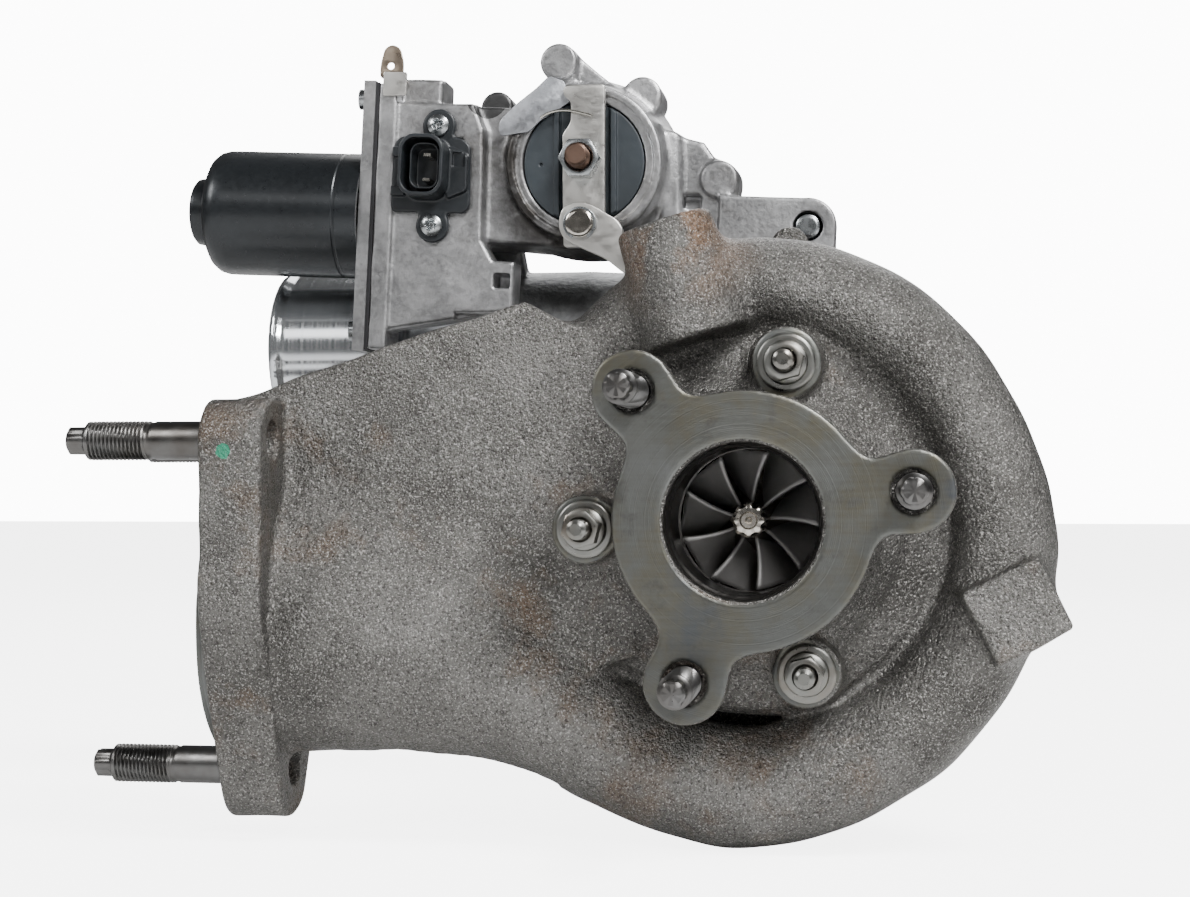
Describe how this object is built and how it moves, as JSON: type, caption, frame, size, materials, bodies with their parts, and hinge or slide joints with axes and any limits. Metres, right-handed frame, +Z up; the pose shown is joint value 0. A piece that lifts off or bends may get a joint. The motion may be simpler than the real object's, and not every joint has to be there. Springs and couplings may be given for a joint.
{
  "type": "variable-nozzle turbocharger",
  "caption": "Turbocharger with variable-nozzle turbine housing, bearing housing, compressor housing and an electric actuator that turns the nozzle vanes by a lever and link.",
  "frame": {"origin": "centre of the turbine outlet flange's face, on the shaft axis", "axes": "+Y along the shaft from the turbine to the compressor, +Z up, -X towards the turbine inlet flange"},
  "size_m": [0.2999, 0.21, 0.2584],
  "materials": {
    "cast_iron": "rough sand casting",
    "heat_steel": "dull",
    "nickel_steel": "heat tinted",
    "steel": "machined",
    "bronze": "machined",
    "cast_aluminium": "die cast",
    "wheel_aluminium": "machined",
    "gasket": "matt",
    "bright_steel": "stamped and bright",
    "zinc": "zinc plated",
    "spring_steel": "tempered brown",
    "black_steel": "satin black",
    "armature_steel": "laminated",
    "magnet": "sintered",
    "black_plastic": "moulded"
  },
  "bodies": {
    "housings": {"actuator_bolts": "zinc", "actuator_cover": "cast_aluminium", "actuator_gasket": "gasket", "actuator_housing": "cast_aluminium", "bearing_housing": "cast_iron", "bushes": "bronze", "clamp_nuts": "heat_steel", "clamp_studs": "heat_steel", "clamp_washers": "heat_steel", "compressor_backplate": "cast_aluminium", "compressor_bolts": "steel", "compressor_clamp_plates": "steel", "compressor_housing": "cast_aluminium", "connector_body": "black_plastic", "connector_screws": "zinc", "connector_terminals": "zinc", "cover_clip": "spring_steel", "cover_screws": "zinc", "heat_shield": "nickel_steel", "inlet_studs": "heat_steel", "joint_bolts": "heat_steel", "motor_case": "black_steel", "motor_magnets": "magnet", "nozzle_ring": "nickel_steel", "nozzle_spacers": "nickel_steel", "outlet_studs": "heat_steel", "piston_rings": "nickel_steel", "ring_guide_pins": "nickel_steel", "shaft_cover": "black_plastic", "shroud_plate": "nickel_steel", "stop_plate": "zinc", "thrust_bearing": "bronze", "turbine_housing": "cast_iron"},
    "rotor": {"turbine_wheel": "nickel_steel", "compressor_wheel": "wheel_aluminium", "thrust_collar": "steel", "shaft_nut": "steel"},
    "lever": {"output_shaft": "steel", "drive_fork": "steel", "control_lever": "bright_steel", "lever_nut": "zinc", "lever_pin": "steel", "link_clip": "steel", "lever_wire": "steel"},
    "link": {"link_plate": "bright_steel"},
    "crank": {"crank_shaft": "steel", "crank_arm": "steel"},
    "ring": {"unison_ring": "nickel_steel"},
    "nut": {"drive_nut": "bronze"},
    "armature": {"motor_armature": "armature_steel"},
    "vane_01": {"vane_01": "nickel_steel"},
    "vane_02": {"vane_02": "nickel_steel"},
    "vane_03": {"vane_03": "nickel_steel"},
    "vane_04": {"vane_04": "nickel_steel"},
    "vane_05": {"vane_05": "nickel_steel"},
    "vane_06": {"vane_06": "nickel_steel"},
    "vane_07": {"vane_07": "nickel_steel"},
    "vane_08": {"vane_08": "nickel_steel"},
    "vane_09": {"vane_09": "nickel_steel"},
    "vane_10": {"vane_10": "nickel_steel"}
  },
  "joints": [
    {"name": "rotor_spin", "type": "hinge", "parent": "housings", "child": "rotor", "pos_m": [0, 0.09, 0], "axis": [0, 1, 0], "continuous": true},
    {"name": "lever_turn", "type": "hinge", "parent": "housings", "child": "lever", "pos_m": [-0.0585, 0.0807, 0.1171], "axis": [0, 1, 0], "range_deg": [-20, 20]},
    {"name": "link_turn", "type": "hinge", "parent": "lever", "child": "link", "pos_m": [-0.0585, 0.0773, 0.0958], "axis": [0, 1, 0], "range_deg": [-20.5, 20.5]},
    {"name": "crank_turn", "type": "hinge", "parent": "housings", "child": "crank", "pos_m": [-0.02189, 0.068, 0.05586], "axis": [0, 1, 0], "range_deg": [-20.5, 20.5]},
    {"name": "ring_turn", "type": "hinge", "parent": "housings", "child": "ring", "pos_m": [0, 0.062, 0], "axis": [0, 1, 0], "range_deg": [-4.6, 4.6]},
    {"name": "vane_01_turn", "type": "hinge", "parent": "housings", "child": "vane_01", "pos_m": [0.03398, 0.058, 0.01332], "axis": [0, 1, 0], "range_deg": [-23.6, 23.6]},
    {"name": "vane_02_turn", "type": "hinge", "parent": "housings", "child": "vane_02", "pos_m": [0.01966, 0.058, 0.03075], "axis": [0, 1, 0], "range_deg": [-23.6, 23.6]},
    {"name": "vane_03_turn", "type": "hinge", "parent": "housings", "child": "vane_03", "pos_m": [-0.00216, 0.058, 0.03644], "axis": [0, 1, 0], "range_deg": [-23.6, 23.6]},
    {"name": "vane_04_turn", "type": "hinge", "parent": "housings", "child": "vane_04", "pos_m": [-0.02317, 0.058, 0.02821], "axis": [0, 1, 0], "range_deg": [-23.6, 23.6]},
    {"name": "vane_05_turn", "type": "hinge", "parent": "housings", "child": "vane_05", "pos_m": [-0.03532, 0.058, 0.0092], "axis": [0, 1, 0], "range_deg": [-23.6, 23.6]},
    {"name": "vane_06_turn", "type": "hinge", "parent": "housings", "child": "vane_06", "pos_m": [-0.03398, 0.058, -0.01332], "axis": [0, 1, 0], "range_deg": [-23.6, 23.6]},
    {"name": "vane_07_turn", "type": "hinge", "parent": "housings", "child": "vane_07", "pos_m": [-0.01966, 0.058, -0.03075], "axis": [0, 1, 0], "range_deg": [-23.6, 23.6]},
    {"name": "vane_08_turn", "type": "hinge", "parent": "housings", "child": "vane_08", "pos_m": [0.00216, 0.058, -0.03644], "axis": [0, 1, 0], "range_deg": [-23.6, 23.6]},
    {"name": "vane_09_turn", "type": "hinge", "parent": "housings", "child": "vane_09", "pos_m": [0.02317, 0.058, -0.02821], "axis": [0, 1, 0], "range_deg": [-23.6, 23.6]},
    {"name": "vane_10_turn", "type": "hinge", "parent": "housings", "child": "vane_10", "pos_m": [0.03532, 0.058, -0.0092], "axis": [0, 1, 0], "range_deg": [-23.6, 23.6]},
    {"name": "nut_slide", "type": "slide", "parent": "housings", "child": "nut", "axis": [0.9989, 0, -0.0471], "range_m": [-0.00655, 0.00655]},
    {"name": "armature_spin", "type": "hinge", "parent": "housings", "child": "armature", "pos_m": [-0.05935, 0.0992, 0.09912], "axis": [0.9989, 0, -0.0471], "range_deg": [-195, 195]}
  ],
  "couplings": [
    {"joint": "link_turn", "follows": "lever_turn", "ratio": -1},
    {"joint": "crank_turn", "follows": "lever_turn", "ratio": 1},
    {"joint": "ring_turn", "follows": "lever_turn", "ratio": -0.2188},
    {"joint": "vane_01_turn", "follows": "lever_turn", "ratio": -1.1669},
    {"joint": "vane_02_turn", "follows": "lever_turn", "ratio": -1.1669},
    {"joint": "vane_03_turn", "follows": "lever_turn", "ratio": -1.1669},
    {"joint": "vane_04_turn", "follows": "lever_turn", "ratio": -1.1669},
    {"joint": "vane_05_turn", "follows": "lever_turn", "ratio": -1.1669},
    {"joint": "vane_06_turn", "follows": "lever_turn", "ratio": -1.1669},
    {"joint": "vane_07_turn", "follows": "lever_turn", "ratio": -1.1669},
    {"joint": "vane_08_turn", "follows": "lever_turn", "ratio": -1.1669},
    {"joint": "vane_09_turn", "follows": "lever_turn", "ratio": -1.1669},
    {"joint": "vane_10_turn", "follows": "lever_turn", "ratio": -1.1669},
    {"joint": "nut_slide", "follows": "lever_turn", "m_per_rad": -0.01845},
    {"joint": "armature_spin", "follows": "lever_turn", "ratio": 9.6604}
  ]
}
